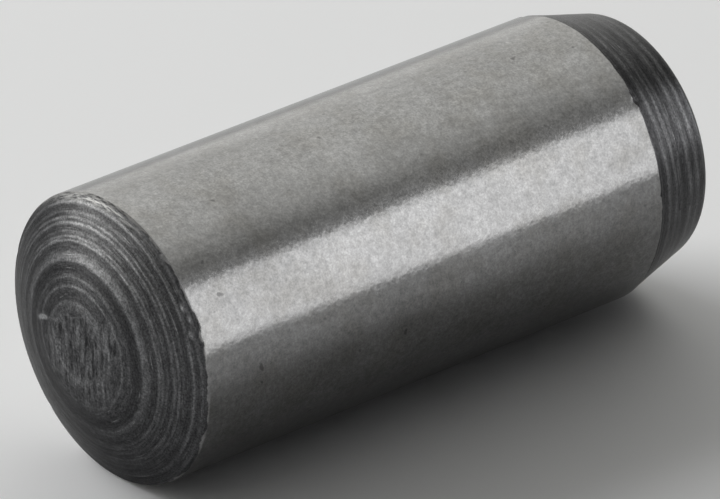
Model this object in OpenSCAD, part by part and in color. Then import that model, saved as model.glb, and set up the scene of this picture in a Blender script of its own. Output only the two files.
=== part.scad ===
// Hardened and ground dowel pin, turned in one piece from bar.
// The pin lies along X: its crowned end faces -X and its tapered lead end faces +X.
// The origin is on the axis, at the middle of the ground body.

/* [Ground body] */
// Diameter of the ground body
pin_d = 10; // [4:0.5:16]
// Length of the ground body, from the crown's rim to the start of the lead taper
body_len = 19.5; // [8:0.5:60]

/* [Crowned end] */
// Radius of the crown
crown_r = 10; // [6:0.5:30]
// Diameter of the flat land faced on the middle of the crown
land_d = 2.8; // [1:0.1:5]
// Radius of the round between the crown and the ground body
rim_round = 0.2; // [0.1:0.05:0.6]

/* [Lead end] */
// Length of the lead taper, from the ground body to the crowned tip
lead_len = 2.5; // [1:0.1:5]
// Angle of the lead taper to the axis, in degrees
lead_angle = 15; // [5:1:30]
// Radius of the shallow crown on the tip
tip_crown_r = 10; // [6:0.5:30]
// Radius of the round between the lead taper and the tip's crown
tip_round = 0.3; // [0.1:0.05:1]

/* [Hidden] */
$fn = 240;
// How far a round stands outside its two neighbours before it is trimmed to them
proud = 0.001;
// How far a cutting outline reaches past what it cuts
spare = 1;

pin_r = pin_d / 2;
body_end = body_len / 2;
lead_end = body_end + lead_len;
tip_r = pin_r - lead_len * tan(lead_angle);

// Distance from a crown's centre to the plane of a circle of the given radius on it
function depth(ball_r, ring_r) = sqrt(ball_r * ball_r - ring_r * ring_r);

// Centres of the two crowns, and the place of the land, along the axis
crown_mid = depth(crown_r, pin_r) - body_end;
land_at = crown_mid - depth(crown_r, land_d / 2);
tip_mid = lead_end - depth(tip_crown_r, tip_r);
tip_top = tip_mid + tip_crown_r + spare;

// The profile's outward directions at the body's wall and at the lead taper
wall_out = [1, 0];
taper_out = [cos(lead_angle), sin(lead_angle)];

// Centre of a disc inside a straight flank and inside a crown's arc. The flank is given by a point and its
// outward direction, and side says on which side of the crown's centre the disc lies along the flank.
function disc_at(disc_r, flank_point, flank_out, ball_mid, ball_r, side) =
    let (
        inset = disc_r - proud,
        mid = [0, ball_mid],
        across = (flank_point - mid) * flank_out - inset,
        along = depth(ball_r - inset, across)
    )
    mid + across * flank_out + side * along * [-flank_out[1], flank_out[0]];

rim_at = disc_at(rim_round, [pin_r, 0], wall_out, crown_mid, crown_r, -1);
tip_at = disc_at(tip_round, [pin_r, body_end], taper_out, tip_mid, tip_crown_r, 1);

// Unit vector from a crown's centre to a point of the profile
function from_mid(point, ball_mid) = (point - [0, ball_mid]) / norm(point - [0, ball_mid]);

// What a crown takes off an end: a band of the profile along the axis, outside the crown's disc
module end_waste(low, high, ball_mid, ball_r) {
    difference() {
        translate([0, low]) square([pin_r + spare, high - low]);
        translate([0, ball_mid]) circle(r = ball_r);
    }
}

// Half section of the pin with sharp edges: straight flanks, with the arc of a crown at each end
module sharp_profile() {
    difference() {
        polygon([
            [0, land_at],
            [pin_r, land_at],
            [pin_r, body_end],
            [pin_r - (tip_top - body_end) * tan(lead_angle), tip_top],
            [0, tip_top],
        ]);
        end_waste(land_at - spare, -body_end, crown_mid, crown_r);
        end_waste(lead_end, tip_top + spare, tip_mid, tip_crown_r);
    }
}

// What a round takes off an edge: the wedge between two outward directions, outside the round's disc
module edge_waste(at, disc_r, out_a, out_b) {
    reach = disc_r + spare;
    difference() {
        polygon([at, at + reach * out_a, at + reach * (out_a + out_b), at + reach * out_b]);
        translate(at) circle(r = disc_r);
    }
}

// The whole pin, turned about its axis
module dowel_pin() {
    color("#8c8d8a")
    rotate([0, 90, 0])
    rotate_extrude()
    difference() {
        sharp_profile();
        edge_waste(rim_at, rim_round, wall_out, from_mid(rim_at, crown_mid));
        edge_waste(tip_at, tip_round, taper_out, from_mid(tip_at, tip_mid));
    }
}

dowel_pin();
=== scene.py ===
"""Looks of a hardened and ground dowel pin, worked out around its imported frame.

The pin is one closed surface of revolution with the tool marks of its making: a crown and a lead taper left
dark from the lathe and the furnace, and a body ground bright between them.
"""
import math
from collections import namedtuple

import bpy
import numpy as np
from bpy.props import FloatProperty, FloatVectorProperty, IntProperty, PointerProperty
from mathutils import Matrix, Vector


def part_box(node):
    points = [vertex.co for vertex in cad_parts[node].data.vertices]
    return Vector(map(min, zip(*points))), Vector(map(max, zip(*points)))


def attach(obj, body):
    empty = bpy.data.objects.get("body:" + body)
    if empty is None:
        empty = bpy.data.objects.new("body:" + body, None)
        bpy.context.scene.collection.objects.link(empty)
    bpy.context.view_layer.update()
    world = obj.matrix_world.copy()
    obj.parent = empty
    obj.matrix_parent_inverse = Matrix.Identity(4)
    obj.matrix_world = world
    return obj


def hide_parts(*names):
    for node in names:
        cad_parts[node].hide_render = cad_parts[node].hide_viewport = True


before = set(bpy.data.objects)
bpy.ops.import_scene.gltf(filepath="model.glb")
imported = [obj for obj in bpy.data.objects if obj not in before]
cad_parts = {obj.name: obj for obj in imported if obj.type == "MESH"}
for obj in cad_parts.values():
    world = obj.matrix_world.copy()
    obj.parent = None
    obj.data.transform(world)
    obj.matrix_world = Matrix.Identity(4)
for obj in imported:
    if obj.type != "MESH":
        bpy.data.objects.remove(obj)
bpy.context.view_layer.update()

bl_info = {
    "name": "Dowel Pin",
    "version": (1, 0, 0),
    "blender": (4, 5, 0),
    "location": "View3D > Sidebar > Dowel Pin",
    "description": "Builds a ground dowel pin with turned ends, and a plain stage for it",
    "category": "Add Mesh",
}

NODE = "dowel_pin"
SLOT = "hardened_steel"
PIN_NAME = "ground_dowel_pin"
FLOOR_NAME = "floor"
MM = 0.001

PIN_LOW, PIN_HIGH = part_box(NODE)
PIN_RADIUS = (PIN_HIGH.z - PIN_LOW.z) / 2

# Rows of the surface on each stretch of the half section, and the length of the body's finer rows
LAND_ROWS = 26
CROWN_ROWS = 108
RIM_ROWS = 8
BODY_END_ROWS = 8
BODY_ROWS = 32
LEAD_ROWS = 60
TIP_ROUND_ROWS = 6
TIP_ROWS = 42
END_STRETCH = 0.6 * MM
# First ring round each pole, which triangles close: share of the land's radius, and turn on the tip
LAND_POLE = 0.02
TIP_POLE = 0.01

# From here on, radii, widths and places on the ends are shares of the pin's radius, where no unit is given.
# Rings that the lathe left on the crown: radius, half width and lightness, which is below 0 in a dark one
CROWN_RINGS = (
    (0.982, 0.010, 0.30),
    (0.931, 0.010, 0.62),
    (0.873, 0.010, 0.22),
    (0.838, 0.008, 0.55),
    (0.806, 0.009, 0.62),
    (0.757, 0.008, 0.26),
    (0.725, 0.009, 0.48),
    (0.701, 0.009, 0.62),
    (0.614, 0.024, 0.42),
    (0.588, 0.014, 0.48),
    (0.530, 0.028, -0.1),
    (0.476, 0.012, 0.34),
    (0.418, 0.010, 0.58),
    (0.315, 0.012, 0.36),
    (0.280, 0.030, 0.24),
)
CROWN_LEVEL = 0.2
# The crown's rings are a painted highlight, lightest towards this angle, and more even inside the first
# radius.
# Inside the second the crown is a little lighter, and outside it has painted shade on the side away from it
CROWN_HIGHLIGHT_AT = math.radians(85)
EVEN_RADIUS = 0.52
LIGHT_RADIUS = 0.46
# The turned ends lie a little out of centre to the ground body: by these shares, towards this angle
CROWN_OUT = 0.0175
LEAD_OUT = 0.006
TURNED_TOWARDS = math.radians(45)
# How far the rings run out of true
WOBBLE = 0.003
# Light arc that bounds the rubbed land: radius, half width, middle, half angle and lightness
ARC_RADIUS = 0.245
ARC_WIDTH = 0.012
ARC_MIDDLE = math.radians(335)
ARC_HALF = math.radians(44)
ARC_LIGHT = 0.6
# Bare chips near the rim: angle and half width in degrees, then radius and half width
BARE_CHIPS = (
    (144, 1.1, 0.962, 0.010),
    (155, 1.2, 0.956, 0.012),
    (149, 0.9, 0.978, 0.008),
    (137, 0.9, 0.968, 0.007),
)
CHIP_LIGHT = 2.0
# The rim is worn bright, and painted as a highlight, round this angle, for this much each way, and this far
# along the pin
WORN_HIGHLIGHT_AT = math.radians(80)
WORN_HIGHLIGHT_HALF = math.radians(26)
WORN_HIGHLIGHT_MIDDLE = 0.02 * MM
WORN_HIGHLIGHT_REACH = 0.13 * MM
# Rings on the lead taper: distance from its start, half width and lightness
LEAD_RINGS = (
    (0.035, 0.020, -0.08),
    (0.088, 0.018, 0.52),
    (0.166, 0.014, 0.50),
    (0.216, 0.012, 0.30),
    (0.254, 0.016, -0.08),
    (0.327, 0.022, 0.48),
    (0.412, 0.018, 0.56),
    (0.490, 0.014, 0.40),
)
LEAD_LEVEL = 0.1
# The lead's rings are a painted highlight, lightest at this angle, in the lit band, and at the one across
# from it
LEAD_HIGHLIGHT_AT = math.radians(147)
# Rings on the tip's crown, given as those of the crown are
TIP_RINGS = (
    (0.815, 0.012, 0.45),
    (0.745, 0.009, 0.55),
    (0.690, 0.022, 0.30),
    (0.610, 0.010, 0.60),
    (0.565, 0.009, 0.35),
    (0.480, 0.018, 0.45),
    (0.400, 0.010, 0.55),
    (0.310, 0.014, 0.40),
    (0.225, 0.010, 0.50),
    (0.140, 0.016, 0.35),
)
TIP_LEVEL = 0.2
# The tip's crown starts where the profile has turned this far past the taper
TIP_PAST_TAPER = 0.4
# Centre mark on the tip: radius, lightness and depth
CENTRE_MARK = 0.055
CENTRE_LIGHT = 0.5
CENTRE_DEPTH = 0.05 * MM
# Uneven feed of the lathe's tool: height and pitch of each of its curves
FEED = (
    (0.55, 0.05),
    (0.45, 0.021),
)
# The grooves start this far from the body's ends
GROOVES_FROM = 0.05 * MM
# Nicks in the rim: place round the pin and half width in degrees, then depth in millimetres
RIM_NICKS = (
    (148, 1.4, 0.03),
    (152, 3.0, 0.055),
    (159, 2.0, 0.03),
    (128, 1.5, 0.015),
    (113, 1.2, 0.015),
    (250, 1.6, 0.015),
    (15, 1.8, 0.015),
    (310, 1.4, 0.015),
)
NICK_REACH = 0.12 * MM
# Chips where the lead taper starts, given in the same way
LEAD_CHIPS = (
    (134, 1.3, 0.04),
    (131, 0.8, 0.03),
    (172, 1.0, 0.02),
    (62, 1.2, 0.025),
    (285, 1.4, 0.03),
)
CHIP_REACH = 0.1 * MM
# Rubbed land: its reach from the axis, how uneven that is, the width over which it fades, its lightness,
# and its depth as a share of the grooves'
LAND_REACH = 0.42
LAND_UNEVEN = 0.05
LAND_FADE = 0.14
LAND_LIGHT = 0.12
LAND_DEPTH = 0.6
# Step across the top of the land: its angle, distance from the axis, half width, middle, half length,
# lightness, and the height and number of its waves
STEP_ANGLE = math.radians(66)
STEP_AT = 0.236
STEP_WIDTH = 0.009
STEP_MIDDLE = -0.08
STEP_HALF = 0.33
STEP_LIGHT = 0.45
STEP_WAVES = (
    (0.012, 23),
    (0.006, 61),
)
# The land is rubbed fully this far below the step
STEP_FADE = 0.01
# Gouge at the end of that step: distance along the step, half length, half width, bow, lightness and depth
GOUGE_AT = -0.36
GOUGE_LENGTH = 0.06
GOUGE_WIDTH = 0.012
GOUGE_BOW = 1.5
GOUGE_LIGHT = 3.6
GOUGE_DEPTH = 0.02 * MM

# Patterns of the finish, in waves for each metre, the same all ways or along X, Y and Z
FRAY_WAVES = 1100
FINE_FRAY_WAVES = 3600
GRAIN_WAVES = 14000
CLOUD_WAVES = 4600
BROAD_WAVES = 420
BROAD_STREAKS = (130, 800, 800)
STAIN_WAVES = 700
PIT_WAVES = 2300
SCRATCH_WAVES = (1000, 5000, 1150)
# Patterns that follow the lathe: waves across the pin, both ways, and along the profile for each radius
STREAK_WAVES = (4, 4, 110)
LINE_WAVES = (8, 8, 380)
GLINT_WAVES = (3, 3, 70)
FADE_WAVES = (6, 6, 26)
WORN_HIGHLIGHT_WAVES = (14, 14, 90)
# Edges of the ground body: unevenness, a nick's bite for its depth, distances from the ends, and softness
EDGE_UNEVEN = 0.3 * MM
EDGE_BITE = 2.6
RIM_EDGE = 0.04 * MM
LEAD_EDGE = 0.03 * MM
EDGE_SOFT = 0.015 * MM
# Dull round of the rim: its middle past the body's start, and where it begins and ends to fade
ROUND_MIDDLE = 0.03 * MM
ROUND_FULL = 0.07 * MM
ROUND_END = 0.12 * MM
# Most lightness that the turned ends take, and the height of the finest relief
LIGHT_MOST = 2.2
RELIEF = 0.004 * MM

# Softboxes on stands: azimuth, distance along it and across it, width and height
FRONT_BOX = (math.radians(-67), 0.8, 0.66, 1.4, 0.7)
GLOW_BOX = (math.radians(-67), 0.8, 0.66, 1.4, 0.95)
LEFT_BOX = (math.radians(228), 0.9, 0, 1.0, 0.8)
# Hanging softboxes: azimuth, elevation, distance and side
HIGH_BOX = (math.radians(108), math.radians(29), 0.6, 0.42)
CEILING_BOX = (math.radians(180), math.radians(62), 0.9, 0.8)
# The room brightens along the first direction, and dims under the ceiling along the second: from and to
# these distances, down to this share of its light
RISE_TOWARDS = (0, 1, 0.5)
RISE_FROM, RISE_TO = -0.35, 0.56
CEILING_TOWARDS = (-0.5, 0, 1)
CEILING_FROM, CEILING_TO, CEILING_SHARE = 0.58, 0.84, 0.06
# Right wall, along X, and the corner on its near side, along X and Y: where they dim, and to which share
WALL_FROM, WALL_TO, WALL_SHARE = 0.68, 0.88, 0.5
CORNER_RIGHT_FROM, CORNER_RIGHT_TO = 0.62, 0.78
CORNER_NEAR_FROM, CORNER_NEAR_TO = 0.4, 0.05
CORNER_SHARE = 0.45
# Window low behind the crowned end: its direction, and where its light starts and is full
WINDOW_TOWARDS = (-0.656, 0.755, 0.0)
WINDOW_FROM, WINDOW_TO = 0.87, 1.0


class PinShape(bpy.types.PropertyGroup):
    """Sizes of the pin's ends and of the marks on them"""

    body_length: FloatProperty(
        name="Ground length", description="Length of the ground body", default=19.5 * MM, unit="LENGTH")
    crown_radius: FloatProperty(
        name="Crown radius", description="Radius of the crown", default=10 * MM, unit="LENGTH")
    land_diameter: FloatProperty(
        name="Land diameter", description="Flat faced on the middle of the crown", default=2.8 * MM,
        unit="LENGTH")
    rim_round: FloatProperty(
        name="Rim round", description="Round between crown and body", default=0.2 * MM, unit="LENGTH")
    lead_length: FloatProperty(
        name="Lead length", description="Length of the lead taper", default=2.5 * MM, unit="LENGTH")
    lead_angle: FloatProperty(
        name="Lead angle", description="Angle of the lead taper to the axis", default=math.radians(15),
        subtype="ANGLE")
    tip_crown_radius: FloatProperty(
        name="Tip crown radius", description="Radius of the crown on the tip", default=10 * MM,
        unit="LENGTH")
    tip_round: FloatProperty(
        name="Tip round", description="Round between taper and tip", default=0.3 * MM, unit="LENGTH")
    groove_depth: FloatProperty(
        name="Groove depth", description="Depth of the turned grooves on the ends", default=0.016 * MM,
        unit="LENGTH")
    around: IntProperty(
        name="Segments around", description="Faces round the pin", default=320, min=32)
    seed: IntProperty(
        name="Seed", description="Seed of the uneven tool marks", default=11)


class PinFinish(bpy.types.PropertyGroup):
    """Colours and gloss of the pin's surfaces"""

    ground: FloatVectorProperty(
        name="Ground steel", description="Colour of the ground body", default=(0.225, 0.225, 0.225),
        subtype="COLOR")
    ground_stain: FloatVectorProperty(
        name="Stain", description="Warmer tint in patches of the body", default=(0.2, 0.198, 0.194),
        subtype="COLOR")
    scale: FloatVectorProperty(
        name="Dark scale", description="Colour of the ends between the rings",
        default=(0.032, 0.032, 0.0335), subtype="COLOR")
    ridge: FloatVectorProperty(
        name="Bare ridge", description="Colour of the light rings", default=(0.154, 0.155, 0.159),
        subtype="COLOR")
    # Worn patch on the rim, which is also a painted highlight
    worn: FloatVectorProperty(
        name="Worn rim", description="Colour of the rim's worn round", default=(0.34, 0.34, 0.335),
        subtype="COLOR")
    ground_glancing: FloatProperty(
        name="Ground glancing", description="How much gloss the body keeps at a glancing angle",
        default=0.85, min=0, max=1, subtype="FACTOR")
    crown_glancing: FloatProperty(
        name="Crown glancing", description="How much gloss the crown keeps at a glancing angle",
        default=0.58, min=0, max=1, subtype="FACTOR")
    lead_glancing: FloatProperty(
        name="Lead glancing", description="How much gloss the lead end keeps at a glancing angle",
        default=0.75, min=0, max=1, subtype="FACTOR")
    ground_roughness: FloatProperty(
        name="Ground roughness", description="Roughness of the ground body", default=0.2,
        min=0, max=1, subtype="FACTOR")
    turned_roughness: FloatProperty(
        name="Turned roughness", description="Roughness of the dark ends", default=0.3,
        min=0, max=1, subtype="FACTOR")


class PinStage(bpy.types.PropertyGroup):
    """Floor, light and camera"""

    floor: FloatVectorProperty(
        name="Floor", description="Colour of the floor", default=(0.89, 0.895, 0.905), subtype="COLOR")
    floor_width: FloatProperty(
        name="Floor width", description="Side of the square floor", default=3.0, unit="LENGTH")
    back_light: FloatProperty(
        name="Back light", description="Brightness of the room behind and beside the pin", default=1.46)
    front_light: FloatProperty(
        name="Front light", description="Brightness of the room on the camera's side", default=0.03)
    room_tint: FloatVectorProperty(
        name="Room tint", description="Colour of the room's light", default=(1.0, 0.995, 0.96),
        subtype="COLOR")
    box_light: FloatProperty(
        name="Softbox light", description="Brightness of the front softbox", default=2.4)
    glow_light: FloatProperty(
        name="Glow light", description="Brightness of the taller glow round the front softbox", default=0.3)
    window_light: FloatProperty(
        name="Window light", description="Extra brightness low behind the crowned end", default=3.1)
    fill_light: FloatProperty(
        name="Fill light", description="Brightness of the softboxes to the left and overhead", default=0.8)
    top_box_light: FloatProperty(
        name="Top softbox light", description="Brightness of the softbox high behind the pin", default=5.0)
    lens: FloatProperty(
        name="Lens", description="Focal length in millimetres on a 36 mm sensor", default=463)
    distance: FloatProperty(
        name="Distance", description="Camera to the middle of the body", default=304.6 * MM, unit="LENGTH")
    azimuth: FloatProperty(
        name="Azimuth", description="Camera's place round the pin", default=math.radians(-39.9),
        subtype="ANGLE")
    elevation: FloatProperty(
        name="Elevation", description="Camera's height above the floor", default=math.radians(28.3),
        subtype="ANGLE")
    aside: FloatProperty(
        name="Aside", description="Middle of the body to the right of the picture's middle",
        default=-0.6 * MM, unit="LENGTH")
    below: FloatProperty(
        name="Below", description="Middle of the body below the picture's middle",
        default=-0.06 * MM, unit="LENGTH")


# Half section of the pin, as arrays of x, radius, turn of the outward normal and path length as a share of
# the pin's radius, with the angles of the columns round the axis
Section = namedtuple("Section", "x r turn share theta")


def body_ends(shape):
    """Where the ground body starts and ends along the axis."""
    return -shape.body_length / 2, shape.body_length / 2


def spread(low, high, count):
    """Count values from low up to, but without, high: equal steps."""
    return np.linspace(low, high, count, endpoint=False)


def arc(mid_x, mid_r, size, turns):
    """Stretch of a half section round a centre: the centre plus the size times (-cos turn, sin turn)."""
    return mid_x - size * np.cos(turns), mid_r + size * np.sin(turns), turns


def line(start_x, start_r, end_x, end_r, turn, steps):
    """Straight stretch of a half section: its start plus a step's share of the way to its end."""
    x = start_x + (end_x - start_x) * steps
    r = start_r + (end_r - start_r) * steps
    return x, r, np.full(steps.shape, turn)


def crowned_end(shape):
    """Stretches of the crowned end, and the x where its round meets the body.

    The crown's centre lies on the axis, so that its arc reaches the body's edge. The round's centre lies
    one round radius inside the wall and inside the crown's arc.
    """
    start, _ = body_ends(shape)
    crown, land, rim = shape.crown_radius, shape.land_diameter / 2, shape.rim_round
    crown_mid = start + math.sqrt(crown**2 - PIN_RADIUS**2)
    rim_mid = crown_mid - math.sqrt((crown - rim) ** 2 - (PIN_RADIUS - rim) ** 2)
    rim_turn = math.atan2(PIN_RADIUS - rim, crown_mid - rim_mid)
    land_turn = math.asin(land / crown)
    land_x = crown_mid - crown * math.cos(land_turn)
    stretches = [
        line(land_x, 0, land_x, land, 0, spread(LAND_POLE, 1, LAND_ROWS)),
        arc(crown_mid, 0, crown, spread(land_turn, rim_turn, CROWN_ROWS)),
        arc(rim_mid, PIN_RADIUS - rim, rim, spread(rim_turn, math.pi / 2, RIM_ROWS)),
    ]
    return stretches, rim_mid


def ground_body(shape, first):
    """Straight stretch of the ground body from its first x, with finer rows near both ends."""
    start, end = body_ends(shape)
    x = np.concatenate([
        spread(first, start + END_STRETCH, BODY_END_ROWS),
        spread(start + END_STRETCH, end - END_STRETCH, BODY_ROWS),
        spread(end - END_STRETCH, end, BODY_END_ROWS),
    ])
    return x, np.full(x.shape, PIN_RADIUS), np.full(x.shape, math.pi / 2)


def lead_end(shape):
    """Stretches of the lead end: the taper, the round and the tip's crown.

    The round's centre lies one round radius inside the taper and inside the crown's arc. It is found from
    its distances across and along the taper from the crown's centre.
    """
    _, end = body_ends(shape)
    slope, crown, tip = shape.lead_angle, shape.tip_crown_radius, shape.tip_round
    tip_radius = PIN_RADIUS - shape.lead_length * math.tan(slope)
    crown_mid = end + shape.lead_length - math.sqrt(crown**2 - tip_radius**2)
    across = PIN_RADIUS * math.cos(slope) + (end - crown_mid) * math.sin(slope) - tip
    along = math.sqrt((crown - tip) ** 2 - across**2)
    disc_x = crown_mid + across * math.sin(slope) + along * math.cos(slope)
    disc_r = across * math.cos(slope) - along * math.sin(slope)
    taper_turn = math.pi / 2 + slope
    tip_turn = math.pi - math.atan2(disc_r, disc_x - crown_mid)
    touch_x = disc_x + tip * math.sin(slope)
    touch_r = disc_r + tip * math.cos(slope)
    return [
        line(end, PIN_RADIUS, touch_x, touch_r, taper_turn, spread(0, 1, LEAD_ROWS)),
        arc(disc_x, disc_r, tip, spread(taper_turn, tip_turn, TIP_ROUND_ROWS)),
        arc(crown_mid, 0, crown, spread(tip_turn, math.pi - TIP_POLE, TIP_ROWS)),
    ]


def half_section(shape):
    """Half section of the pin from the land to the tip, and the angles round it.

    Each stretch is a straight line or an arc. The normal's turn grows from 0 at the land, which faces -X,
    to a quarter turn on the body and a half turn at the tip, which faces +X.
    """
    crown, rim_mid = crowned_end(shape)
    stretches = crown + [ground_body(shape, rim_mid)] + lead_end(shape)
    x, r, turn = (np.concatenate(column) for column in zip(*stretches))
    path = np.concatenate([[0], np.cumsum(np.hypot(np.diff(x), np.diff(r)))])
    return Section(x, r, turn, path / PIN_RADIUS, spread(0, 2 * np.pi, shape.around))


def bumps(place, rings):
    """Sum of bell curves along a path: one for each ring, at its place, with its half width and height."""
    at, width, height = (np.array(column) for column in zip(*rings))
    return (height * np.exp(-(((place[..., None] - at) / width) ** 2))).sum(-1)


def uneven(place, pitch, rng):
    """Smooth random curve from -1 to 1 along a path: heights one pitch apart, joined by cosine steps."""
    knots = place / pitch
    base = np.floor(knots).astype(int)
    base -= base.min()
    heights = rng.uniform(-1, 1, base.max() + 2)
    ease = (1 - np.cos(np.pi * (knots - np.floor(knots)))) / 2
    return heights[base] * (1 - ease) + heights[base + 1] * ease


def around_wave(theta, rng, waves):
    """Smooth random curve round the pin: whole waves of random phase, their sum scaled to about -1 to 1."""
    count = np.arange(1, waves + 1)
    phase = rng.uniform(0, 2 * np.pi, waves)
    return np.cos(count * theta[..., None] + phase).sum(-1) / math.sqrt(waves)


def angle_from(theta, middle):
    """Angle from a middle one, the short way round."""
    return (theta - middle + np.pi) % (2 * np.pi) - np.pi


def bells_around(theta, at, width):
    """Bell curves of the angle from each place, in degrees, with its half width: a column a place."""
    gap = (np.degrees(theta)[:, None] - at + 180) % 360 - 180
    return np.exp(-((gap / width) ** 2))


def nicks(theta, places):
    """Depth of nicks round an edge: a bell curve of the angle from each nick's place, times its depth."""
    at, width, depth = (np.array(column) for column in zip(*places))
    return (depth * bells_around(theta, at, width)).sum(-1)[None] * MM


def bare_chips(theta, radius):
    """Bare spots near the rim: for each, a bell curve of the angle times a bell curve of the radius."""
    at, width, ring, breadth = (np.array(column) for column in zip(*BARE_CHIPS))
    along = np.exp(-(((radius[:, None] - ring) / breadth) ** 2))
    return along @ bells_around(theta, at, width).T


def crown_light(section, wobble):
    """Lightness of the crown: its light rings, the arc that bounds the land, and the bare chips.

    The rings are bell curves of the radius from the crown's own centre, painted lightest towards one angle
    as a painted highlight. They fade with the cosine of the angle from it, less so inside the even radius,
    and outside the light radius the side away from it gets painted shade.
    """
    radius, theta = section.r / PIN_RADIUS, section.theta
    place = radius[:, None] + (wobble - CROWN_OUT * np.cos(theta - TURNED_TOWARDS))
    # Painted highlight towards the highlight's angle, and painted shade on the far side outside the light
    # radius
    facing = 0.5 + 0.5 * np.cos(theta - CROWN_HIGHLIGHT_AT)
    ring_highlight = np.where(place < EVEN_RADIUS, 0.3 + 0.8 * facing**0.7, 0.35 + 1.15 * facing)
    level = CROWN_LEVEL + np.where(place < LIGHT_RADIUS, 0.04, -0.07 * (1 - facing))
    reach = (angle_from(theta, ARC_MIDDLE) / ARC_HALF) ** 4
    bound = np.exp(-(((place - ARC_RADIUS) / ARC_WIDTH) ** 2) - reach)
    chips = bare_chips(theta, radius)
    return level + bumps(place, CROWN_RINGS) * ring_highlight + ARC_LIGHT * bound + CHIP_LIGHT * chips


def lead_light(section, wobble, shape):
    """Lightness of the lead taper: bell curves of the distance from its start, painted lightest on two
    sides as a painted highlight.
    """
    _, end = body_ends(shape)
    place = ((section.x - end) / math.cos(shape.lead_angle) / PIN_RADIUS)[:, None] + wobble
    # Painted highlight: rings lightest across the lit band and on the side across from it
    ring_highlight = 0.6 + 0.4 * np.cos(2 * (section.theta - LEAD_HIGHLIGHT_AT))
    return LEAD_LEVEL + bumps(place, LEAD_RINGS) * ring_highlight


def land_marks(section, uneven_reach):
    """Step, rub and gouge on the crown's land, each from 0 to 1 over the grid.

    The land's plane is turned so that one way runs along the step and the other across it. The step is a
    bell curve across a wavy line, the rub lies below that line and inside its uneven reach, and the gouge
    is a bell curve across a bowed line.
    """
    radius = section.r[:, None] / PIN_RADIUS
    flat_y, flat_z = radius * np.cos(section.theta), radius * np.sin(section.theta)
    across = flat_y * math.cos(STEP_ANGLE) + flat_z * math.sin(STEP_ANGLE) - STEP_AT
    along = flat_z * math.cos(STEP_ANGLE) - flat_y * math.sin(STEP_ANGLE)
    wavy = across + sum(height * np.sin(count * along) for height, count in STEP_WAVES)
    step = np.exp(-((wavy / STEP_WIDTH) ** 2) - ((along - STEP_MIDDLE) / STEP_HALF) ** 6)
    inside = LAND_REACH + uneven_reach - radius
    rubbed = np.clip(inside / LAND_FADE, 0, 1) * np.clip(-wavy / STEP_FADE, 0, 1)
    bowed = across + GOUGE_BOW * (along - GOUGE_AT) ** 2
    gouge = np.exp(-((bowed / GOUGE_WIDTH) ** 2) - ((along - GOUGE_AT) / GOUGE_LENGTH) ** 4)
    return step, rubbed, gouge


def edge_dents(section, shape):
    """Depth of the nicks at the rim and the chips at the lead's start, with bell curves along the axis."""
    start, end = body_ends(shape)
    near_rim = np.exp(-(((section.x - start) / NICK_REACH) ** 2))[:, None]
    near_lead = np.exp(-(((section.x - end) / CHIP_REACH) ** 2))[:, None]
    return near_rim * nicks(section.theta, RIM_NICKS) + near_lead * nicks(section.theta, LEAD_CHIPS)


def lead_lean(section, shape):
    """How the lead end leans: its points' way along X and outwards, and how much later its taper starts.

    The lean grows evenly down the taper and shrinks again with the radius over the tip. The taper starts
    later on the side that it leans to, by the lean over the taper's slope, and earlier on the other side.
    """
    _, end = body_ends(shape)
    x, r = section.x, section.r
    touch = np.flatnonzero((x > end) & (section.turn <= math.pi / 2 + shape.lead_angle))[-1]
    down_taper = np.clip((x - end) / (x[touch] - end), 0, 1)
    near_end = np.clip(1 + (x - end) / END_STRETCH, 0, 1) * (1 - down_taper)
    lean = LEAD_OUT * PIN_RADIUS * np.cos(section.theta - TURNED_TOWARDS)
    later = lean / math.tan(shape.lead_angle)
    outwards = down_taper * np.minimum(1, r / r[touch])
    return near_end[:, None] * later, outwards[:, None] * lean, later


def worn_rim_highlight(section, shape):
    """Bare share of the rim's round, also a painted highlight: a flat-topped bell along the axis times a
    bell round the pin.
    """
    start, _ = body_ends(shape)
    along = np.exp(-(((section.x - start - WORN_HIGHLIGHT_MIDDLE) / WORN_HIGHLIGHT_REACH) ** 4))
    return along[:, None] * np.exp(-((angle_from(section.theta, WORN_HIGHLIGHT_AT) / WORN_HIGHLIGHT_HALF) ** 2))


def revolve(x, r, theta):
    """Points of a surface of revolution about X: (x, r cos theta, r sin theta) over the grid."""
    return np.stack([x, r * np.cos(theta), r * np.sin(theta)], -1)


def with_poles(grid):
    """The grid's values in one list, followed by those of the two poles: the means of the end rows."""
    return np.concatenate([grid.reshape(-1, *grid.shape[2:]), grid[[0, -1]].mean(axis=1)])


def grid_faces(rows, columns):
    """Quads between neighbouring rows, closed round the pin, and a fan of triangles round each pole."""
    index = np.arange(rows * columns).reshape(rows, columns)
    beside = np.roll(index, -1, axis=1)
    quads = np.stack([index[:-1], beside[:-1], beside[1:], index[1:]], -1).reshape(-1, 4)
    first, last = rows * columns, rows * columns + 1
    head = np.stack([np.full(columns, first), beside[0], index[0]], -1)
    tail = np.stack([np.full(columns, last), index[-1], beside[-1]], -1)
    return quads.tolist() + head.tolist() + tail.tolist()


def uv_corners(columns, v):
    """UV of each face's corners, in the faces' order: u goes once round the pin, v from land to tip."""
    def corners(*pairs):
        """Corners of a set of like faces, from the u and v of each corner."""
        return np.stack([np.stack(np.broadcast_arrays(*pair), -1) for pair in pairs], -2).reshape(-1, 2)

    u = np.arange(columns) / columns
    u_next = u + 1 / columns
    middle = (u + u_next) / 2
    low, high = v[:-1, None], v[1:, None]
    return np.concatenate([
        corners((u, low), (u_next, low), (u_next, high), (u, high)),
        corners((middle, 0.0), (u_next, v[0]), (u, v[0])),
        corners((middle, 1.0), (u, v[-1]), (u_next, v[-1])),
    ])


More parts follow.
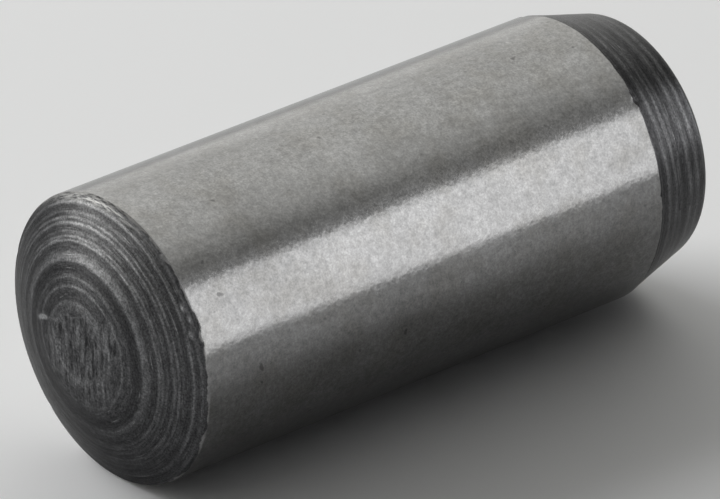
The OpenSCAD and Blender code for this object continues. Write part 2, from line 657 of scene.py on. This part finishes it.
def pin_surface(shape):
    """The pin as points, faces, UV corners and the attributes that its finish reads.

    The half section is turned about X. Each point then moves inwards along its normal by the turned
    grooves, which are shallow where the ends are light, and by the marks and dents of use. The lead end
    leans a little.
    """
    section = half_section(shape)
    x, r, turn, share, theta = section
    start, _ = body_ends(shape)

    rng = np.random.default_rng(shape.seed)
    wobble = WOBBLE * around_wave(theta, rng, 3)
    feed = sum(height * uneven(share, pitch, rng) for height, pitch in FEED)
    patch = 1 + 0.25 * around_wave(theta, rng, 5)
    uneven_reach = LAND_UNEVEN * around_wave(theta, rng, 6)

    on_crown = (x < start)[:, None]
    on_tip = (turn > math.pi / 2 + shape.lead_angle + TIP_PAST_TAPER)[:, None]
    on_ends = (np.abs(x) > shape.body_length / 2 + GROOVES_FROM)[:, None]
    radius = r[:, None] / PIN_RADIUS + wobble
    centre = np.where(on_tip, np.exp(-((radius / CENTRE_MARK) ** 4)), 0)
    tip_light = TIP_LEVEL + bumps(radius, TIP_RINGS) + CENTRE_LIGHT * centre
    light = np.where(on_tip, tip_light, lead_light(section, wobble, shape))
    light = np.where(on_crown, crown_light(section, wobble), light)
    grooves = 1 - np.clip(0.35 + 0.3 * feed[:, None] * patch + 0.6 * light, 0, 1)

    step, rubbed, gouge = (np.where(on_crown, mark, 0) for mark in land_marks(section, uneven_reach))
    light = light + STEP_LIGHT * step + GOUGE_LIGHT * gouge + LAND_LIGHT * rubbed
    depth = shape.groove_depth * (np.where(on_ends, grooves, 0) + LAND_DEPTH * rubbed)
    inward = depth + GOUGE_DEPTH * gouge + CENTRE_DEPTH * centre + edge_dents(section, shape)

    along, outwards, later = lead_lean(section, shape)
    grid_x = x[:, None] + inward * np.cos(turn)[:, None] + along
    grid_r = r[:, None] - inward * np.sin(turn)[:, None] + outwards
    vertices = with_poles(revolve(grid_x, grid_r, theta[None]))
    # The poles themselves stay on the axis
    vertices[-2:, 1:] = 0

    crowned_half, lead_half = (x < 0)[:, None], (x > 0)[:, None]
    bite = crowned_half * nicks(theta, RIM_NICKS) + lead_half * nicks(theta, LEAD_CHIPS)
    levels = {
        "light": light,
        "rubbed": rubbed,
        "bite": bite / MM,
        # Worn patch of the rim, also a painted highlight
        "worn": worn_rim_highlight(section, shape),
        "late": lead_half * later / MM,
    }
    levels = {name: with_poles(level) for name, level in levels.items()}
    turning = np.stack(np.broadcast_arrays(np.cos(theta), np.sin(theta), share[:, None]), -1)
    faces = grid_faces(len(x), len(theta))
    return vertices, faces, uv_corners(len(theta), share / share[-1]), levels, with_poles(turning)


def new_mesh(name, vertices, faces, material):
    """Smooth-shaded object at the origin, with its place in its mesh."""
    mesh = bpy.data.meshes.new(name)
    mesh.from_pydata(vertices.tolist(), [], faces)
    mesh.polygons.foreach_set("use_smooth", np.ones(len(mesh.polygons), bool))
    mesh.materials.append(material)
    mesh.update()
    piece = bpy.data.objects.new(name, mesh)
    bpy.context.scene.collection.objects.link(piece)
    return piece


class Shader:
    """Short hand for a node tree: each method adds a node, sets its sockets and returns an output."""

    def __init__(self, tree):
        """Starts from an emptied tree."""
        self.tree = tree
        tree.nodes.clear()

    def add(self, kind, sockets=(), **settings):
        """Adds a node with its settings, links or sets the named sockets and returns the node itself."""
        made = self.tree.nodes.new(kind)
        for name, value in settings.items():
            setattr(made, name, value)
        for name, value in dict(sockets).items():
            if isinstance(value, bpy.types.NodeSocket):
                self.tree.links.new(value, made.inputs[name])
            else:
                made.inputs[name].default_value = value
        return made

    def attribute(self, name, output="Fac"):
        """Value of one of the mesh's attributes."""
        return self.add("ShaderNodeAttribute", attribute_name=name).outputs[output]

    def math(self, operation, first, second=0.0):
        """Two numbers, combined by an operation."""
        return self.add("ShaderNodeMath", {0: first, 1: second}, operation=operation).outputs[0]

    def add_up(self, first, second):
        """Sum of two numbers."""
        return self.math("ADD", first, second)

    def less(self, first, second):
        """First number less the second."""
        return self.math("SUBTRACT", first, second)

    def times(self, first, second):
        """Product of two numbers."""
        return self.math("MULTIPLY", first, second)

    def towards(self, vector, way):
        """How far a vector reaches along a direction."""
        made = self.add("ShaderNodeVectorMath", {0: vector, 1: way}, operation="DOT_PRODUCT")
        return made.outputs["Value"]

    def noise(self, vector, scale, detail=2.0, roughness=0.5):
        """Soft noise of about 0 to 1, the same all ways."""
        made = self.add("ShaderNodeTexNoise", {
            "Vector": vector, "Scale": scale, "Detail": detail, "Roughness": roughness})
        return made.outputs["Fac"]

    def streaks(self, vector, waves, detail, roughness=0.5):
        """Soft noise with its own number of waves along each axis."""
        stretched = self.add("ShaderNodeMapping", {"Vector": vector, "Scale": waves}).outputs["Vector"]
        return self.noise(stretched, 1.0, detail, roughness)

    def remap(self, value, low, high, to_low=0.0, to_high=1.0, way="LINEAR"):
        """Number taken from one range to another, and held at the ends."""
        made = self.add("ShaderNodeMapRange", {
            "Value": value, "From Min": low, "From Max": high, "To Min": to_low, "To Max": to_high},
            interpolation_type=way)
        return made.outputs["Result"]

    def blend(self, share, first, second):
        """Number between two others."""
        return self.add("ShaderNodeMix", {0: share, 2: first, 3: second}, data_type="FLOAT").outputs[0]

    def mix(self, share, first, second):
        """Colour between two others."""
        return self.add("ShaderNodeMix", {0: share, 6: first, 7: second}, data_type="RGBA").outputs[2]

    def grey(self, level):
        """Grey colour of a level."""
        return self.add("ShaderNodeCombineColor", {0: level, 1: level, 2: level}).outputs[0]

    def shade(self, colour, level):
        """Colour times a grey level."""
        made = self.mix(1.0, colour, self.grey(level))
        made.node.blend_type = "MULTIPLY"
        return made


def rgba(colour):
    """Colour with full opacity."""
    return (*colour, 1.0)


def ground_share(s, place, x, shape):
    """Share of ground steel: 1 on the body and 0 on the ends.

    The grinding wheel's reach ends raggedly at both ends of the body, nicks and chips bite into it, and it
    ends later where the taper starts later.
    """
    start, end = body_ends(shape)
    fine_fray = s.times(s.noise(place, FINE_FRAY_WAVES, 2.0, 0.6), 0.6)
    fray = s.add_up(s.noise(place, FRAY_WAVES, 1.0), fine_fray)
    jitter = s.times(s.less(fray, 0.8), EDGE_UNEVEN)
    bite = s.times(s.attribute("bite"), EDGE_BITE * MM)
    late = s.times(s.attribute("late"), MM)
    from_rim = s.less(s.less(s.add_up(x, jitter), bite), start + RIM_EDGE)
    from_lead = s.less(end - LEAD_EDGE, s.add_up(x, s.times(jitter, 0.3)))
    from_lead = s.add_up(s.less(from_lead, bite), late)
    return s.remap(s.math("MINIMUM", from_rim, from_lead), -EDGE_SOFT, EDGE_SOFT)


def ground_colour(s, place, grain, cloud, finish):
    """Colour of the ground body: fine grain, clouds, broad shades, soft stains and a few dark pits."""
    stain = s.remap(s.noise(place, STAIN_WAVES, 3.0, 0.6), 0.45, 0.65)
    body = s.mix(stain, rgba(finish.ground), rgba(finish.ground_stain))
    broad = s.add_up(s.noise(place, BROAD_WAVES, 2.0, 0.55), s.streaks(place, BROAD_STREAKS, 1.0))
    shade = s.times(s.remap(grain, 0.2, 0.8, 0.7, 1.3), s.remap(cloud, 0.25, 0.75, 0.84, 1.16))
    body = s.shade(body, s.times(shade, s.remap(broad, 0.7, 1.3, 0.89, 1.11)))
    pits = s.remap(s.noise(place, PIT_WAVES, 1.0), 0.755, 0.81)
    return s.mix(s.times(pits, 0.55), body, rgba(finish.scale))


def turned_colour(s, turning, grain, lines, scratch, rim, finish):
    """Colour of the turned ends: light rings and streaks of the lathe, and scratches on the rubbed land."""
    streak = s.streaks(turning, STREAK_WAVES, 3.0, 0.65)
    lathe = s.add_up(s.remap(streak, 0.3, 0.7, -0.13, 0.13), s.remap(lines, 0.3, 0.7, -0.13, 0.13))
    glint = s.remap(s.streaks(turning, GLINT_WAVES, 3.0, 0.7), 0.63, 0.74, 0.0, 1.2)
    rub = s.remap(scratch, 0.38, 0.64, -0.34, 0.72)
    fade = s.remap(s.streaks(turning, FADE_WAVES, 3.0, 0.65), 0.32, 0.68, 0.5, 1.4)
    marks = s.blend(s.attribute("rubbed"), s.add_up(lathe, glint), rub)
    lightness = s.add_up(s.times(s.attribute("light"), fade), marks)
    lightness = s.add_up(lightness, s.times(rim, 0.15))
    lightness = s.math("MINIMUM", s.math("MAXIMUM", lightness, 0.0), LIGHT_MOST)
    turned = s.mix(lightness, rgba(finish.scale), rgba(finish.ridge))
    turned.node.clamp_factor = False
    return s.shade(turned, s.remap(grain, 0.2, 0.8, 0.3, 1.7))


def around_roughness(s, pattern, middle, spread_by):
    """Roughness that a pattern spreads evenly about a middle value."""
    return s.remap(pattern, 0.2, 0.8, middle - spread_by, middle + spread_by)


def steel_finish(shape, finish):
    """Hardened steel: dark turned ends with light rings, and a ground body with ragged ends."""
    material = bpy.data.materials.new(SLOT)
    material.use_nodes = True
    s = Shader(material.node_tree)
    place = s.add("ShaderNodeTexCoord").outputs["Object"]
    x = s.add("ShaderNodeSeparateXYZ", {"Vector": place}).outputs["X"]
    turning = s.attribute("turning", "Vector")
    start, _ = body_ends(shape)

    # Patterns that both the colour and the relief read
    grain = s.noise(place, GRAIN_WAVES, 2.0, 0.6)
    cloud = s.noise(place, CLOUD_WAVES, 1.5, 0.5)
    lines = s.streaks(turning, LINE_WAVES, 2.0, 0.6)
    scratch = s.streaks(place, SCRATCH_WAVES, 3.0, 0.7)
    from_round = s.math("ABSOLUTE", s.add_up(x, -(start + ROUND_MIDDLE)))
    rim = s.remap(from_round, ROUND_FULL, ROUND_END, 1.0, 0.0)
    ground = ground_share(s, place, x, shape)

    # The rim's round is dull, and worn bright in patches on one side, which also paints a highlight there
    body = ground_colour(s, place, grain, cloud, finish)
    turned = turned_colour(s, turning, grain, lines, scratch, rim, finish)
    worn = s.times(s.attribute("worn"), s.remap(s.streaks(turning, WORN_HIGHLIGHT_WAVES, 3.0, 0.6), 0.42, 0.58))
    colour = s.mix(worn, s.mix(ground, turned, body), rgba(finish.worn))
    rough_turned = around_roughness(s, lines, finish.turned_roughness, 0.06)
    rough_body = around_roughness(s, grain, finish.ground_roughness, 0.04)
    rough = s.math("MAXIMUM", s.blend(ground, rough_turned, rough_body), s.times(rim, 0.5))

    # Gloss at a glancing angle, which the dark ends keep less of
    turned_dull = s.blend(s.math("GREATER_THAN", x, 0.0), finish.crown_glancing, finish.lead_glancing)
    glancing = s.grey(s.blend(ground, turned_dull, finish.ground_glancing))

    # Relief: grain and soft waves on the body, tool lines on the ends
    body_height = s.add_up(s.times(grain, 0.2), s.times(cloud, 1.1))
    turned_height = s.blend(s.attribute("rubbed"), s.times(lines, 1.2), s.times(scratch, 1.2))
    height = s.blend(ground, turned_height, body_height)
    bump = s.add("ShaderNodeBump", {"Strength": 1.0, "Distance": RELIEF, "Height": height})
    tangent = s.add("ShaderNodeTangent", direction_type="UV_MAP", uv_map="UVMap")
    shader = s.add("ShaderNodeBsdfPrincipled", {
        "Base Color": colour,
        "Metallic": 1.0,
        "Specular Tint": glancing,
        "Roughness": rough,
        "Anisotropic": 0.4,
        "Anisotropic Rotation": 0.25,
        "Normal": bump.outputs[0],
        "Tangent": tangent.outputs[0],
    })
    s.add("ShaderNodeOutputMaterial", {"Surface": shader.outputs[0]})
    return material


def floor_finish(stage):
    """Plain matt floor."""
    material = bpy.data.materials.new("floor_paper")
    material.use_nodes = True
    s = Shader(material.node_tree)
    shader = s.add("ShaderNodeBsdfPrincipled", {
        "Base Color": rgba(stage.floor), "Roughness": 1.0, "Specular IOR Level": 0.0})
    s.add("ShaderNodeOutputMaterial", {"Surface": shader.outputs[0]})
    return material


def lay_floor(stage):
    """Square sheet under the pin's lowest line."""
    half = stage.floor_width / 2
    corners = np.array([(-half, -half), (half, -half), (half, half), (-half, half)])
    vertices = np.column_stack([corners, np.full(4, PIN_LOW.z)])
    new_mesh(FLOOR_NAME, vertices, [(0, 1, 2, 3)], floor_finish(stage))


def light_room(scene, stage):
    """Soft room light: pale behind the pin, and dim on the camera's side and under the ceiling.

    The level rises smoothly with the direction's y plus half its z, and falls again with its z less half
    its x. The wall to the right is dimmer, its near corner more so, and a window glows low behind the
    crowned end.
    """
    world = bpy.data.worlds.new("studio")
    world.use_nodes = True
    scene.world = world
    s = Shader(world.node_tree)
    direction = s.add("ShaderNodeTexCoord").outputs["Generated"]
    along = s.add("ShaderNodeSeparateXYZ", {"Vector": direction}).outputs

    rise = s.towards(direction, RISE_TOWARDS)
    level = s.remap(rise, RISE_FROM, RISE_TO, stage.front_light, stage.back_light, "SMOOTHSTEP")
    up = s.towards(direction, CEILING_TOWARDS)
    ceiling = s.remap(up, CEILING_FROM, CEILING_TO, 1.0, CEILING_SHARE, "SMOOTHSTEP")
    wall = s.remap(along["X"], WALL_FROM, WALL_TO, 1.0, WALL_SHARE)
    to_right = s.remap(along["X"], CORNER_RIGHT_FROM, CORNER_RIGHT_TO)
    to_near = s.remap(along["Y"], CORNER_NEAR_FROM, CORNER_NEAR_TO)
    corner = s.remap(s.times(to_right, to_near), 0.0, 1.0, 1.0, CORNER_SHARE)
    level = s.times(s.times(level, ceiling), s.times(wall, corner))
    to_window = s.towards(direction, WINDOW_TOWARDS)
    window = s.remap(to_window, WINDOW_FROM, WINDOW_TO, 0.0, stage.window_light, "SMOOTHSTEP")

    background = s.add("ShaderNodeBackground", {
        "Color": rgba(stage.room_tint), "Strength": s.add_up(level, window)})
    s.add("ShaderNodeOutputWorld", {"Surface": background.outputs[0]})


def add_softbox(name, level, outwards, spot, width, height):
    """Softbox at a spot, shining against a direction: its power is pi times its level and its area."""
    lamp = bpy.data.lights.new(name, "AREA")
    lamp.shape = "RECTANGLE"
    lamp.size = width
    lamp.size_y = height
    lamp.energy = level * math.pi * width * height
    box = bpy.data.objects.new(name, lamp)
    box.location = spot
    box.rotation_mode = "QUATERNION"
    box.rotation_quaternion = outwards.to_track_quat("Z", "Y")
    box.visible_camera = False
    bpy.context.scene.collection.objects.link(box)
    return box


def stand_softbox(name, level, azimuth, reach, aside, width, height):
    """Upright softbox on the floor, at its reach along an azimuth and its way aside across it."""
    outwards = Vector((math.cos(azimuth), math.sin(azimuth), 0))
    across = Vector((-math.sin(azimuth), math.cos(azimuth), 0))
    spot = outwards * reach + across * aside + Vector((0, 0, PIN_LOW.z + height / 2))
    return add_softbox(name, level, outwards, spot, width, height)


def hang_softbox(name, level, azimuth, elevation, reach, side):
    """Square softbox that hangs at an azimuth and elevation and faces the pin."""
    flat = math.cos(elevation)
    outwards = Vector((math.cos(azimuth) * flat, math.sin(azimuth) * flat, math.sin(elevation)))
    return add_softbox(name, level, outwards, outwards * reach, side, side)


def light_only(box, name):
    """Flags a softbox so that its light falls on one object alone."""
    lit = bpy.data.collections.new(box.name + "_reach")
    lit.objects.link(bpy.data.objects[name])
    box.light_linking.receiver_collection = lit


def place_camera(scene, stage):
    """Camera on a ray from the body's middle, at an azimuth and elevation, moved aside to frame the pin."""
    azimuth, flat = stage.azimuth, math.cos(stage.elevation)
    back = Vector((math.sin(azimuth) * flat, -math.cos(azimuth) * flat, math.sin(stage.elevation)))
    right = Vector((math.cos(azimuth), math.sin(azimuth), 0))
    down = right.cross(back)
    camera = bpy.data.cameras.new("camera")
    camera.lens = stage.lens
    camera.clip_start = 0.01
    camera.clip_end = 10
    stand = bpy.data.objects.new("camera", camera)
    stand.location = back * stage.distance - right * stage.aside - down * stage.below
    stand.rotation_mode = "QUATERNION"
    stand.rotation_quaternion = (-back).to_track_quat("-Z", "Y")
    scene.collection.objects.link(stand)
    scene.camera = stand


class DOWEL_OT_pin(bpy.types.Operator):
    """Builds the pin's surface and finish in place of the frame's plain solid"""

    bl_idname = "dowel.pin"
    bl_label = "Dowel Pin"

    def execute(self, context):
        """Makes the pin's mesh with its UV map and attributes, and ties it to the frame."""
        shape, finish = context.scene.dowel_shape, context.scene.dowel_finish
        vertices, faces, uv, levels, turning = pin_surface(shape)
        pin = new_mesh(PIN_NAME, vertices, faces, steel_finish(shape, finish))
        pin.data.uv_layers.new(name="UVMap").data.foreach_set("uv", uv.astype(np.float32).ravel())
        attributes = pin.data.attributes
        for name, level in levels.items():
            attributes.new(name, "FLOAT", "POINT").data.foreach_set("value", level.astype(np.float32))
        flat_turning = turning.astype(np.float32).ravel()
        attributes.new("turning", "FLOAT_VECTOR", "POINT").data.foreach_set("vector", flat_turning)
        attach(pin, "root")
        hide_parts(NODE)
        return {"FINISHED"}


class DOWEL_OT_stage(bpy.types.Operator):
    """Lays the floor, lights the room and sets up the camera"""

    bl_idname = "dowel.stage"
    bl_label = "Stage"

    def execute(self, context):
        """Makes the stage round the pin, with softboxes that light the pin or the floor alone."""
        stage = context.scene.dowel_stage
        lay_floor(stage)
        light_room(context.scene, stage)
        front = stand_softbox("front_softbox", stage.box_light, *FRONT_BOX)
        glow = stand_softbox("front_glow", stage.glow_light, *GLOW_BOX)
        high = hang_softbox("high_softbox", stage.top_box_light, *HIGH_BOX)
        left = stand_softbox("left_softbox", stage.fill_light, *LEFT_BOX)
        ceiling = hang_softbox("ceiling_softbox", stage.fill_light, *CEILING_BOX)
        for box in (left, ceiling, front, glow):
            light_only(box, PIN_NAME)
        light_only(high, FLOOR_NAME)
        place_camera(context.scene, stage)
        context.scene.view_settings.view_transform = "Standard"
        return {"FINISHED"}


class DOWEL_PT_panel(bpy.types.Panel):
    """Lists the pin's and the stage's values and operators"""

    bl_idname = "DOWEL_PT_panel"
    bl_label = "Dowel Pin"
    bl_space_type = "VIEW_3D"
    bl_region_type = "UI"
    bl_category = "Dowel Pin"

    def draw(self, context):
        """Shows each group's values in a column, and the operators below them."""
        for group in (context.scene.dowel_shape, context.scene.dowel_finish, context.scene.dowel_stage):
            column = self.layout.column(align=True)
            for name in group.bl_rna.properties.keys():
                if name not in ("rna_type", "name"):
                    column.prop(group, name)
        self.layout.operator(DOWEL_OT_pin.bl_idname)
        self.layout.operator(DOWEL_OT_stage.bl_idname)


CLASSES = (PinShape, PinFinish, PinStage, DOWEL_OT_pin, DOWEL_OT_stage, DOWEL_PT_panel)


def register():
    """Registers the classes and hangs the three groups of values on the scene."""
    for each in CLASSES:
        bpy.utils.register_class(each)
    bpy.types.Scene.dowel_shape = PointerProperty(type=PinShape)
    bpy.types.Scene.dowel_finish = PointerProperty(type=PinFinish)
    bpy.types.Scene.dowel_stage = PointerProperty(type=PinStage)


def unregister():
    """Takes the groups of values off the scene again, and the classes out."""
    for name in ("dowel_shape", "dowel_finish", "dowel_stage"):
        delattr(bpy.types.Scene, name)
    for each in reversed(CLASSES):
        bpy.utils.unregister_class(each)


def main():
    """Builds the pin and its stage."""
    register()
    bpy.ops.dowel.pin()
    bpy.ops.dowel.stage()


if __name__ == "__main__":
    main()
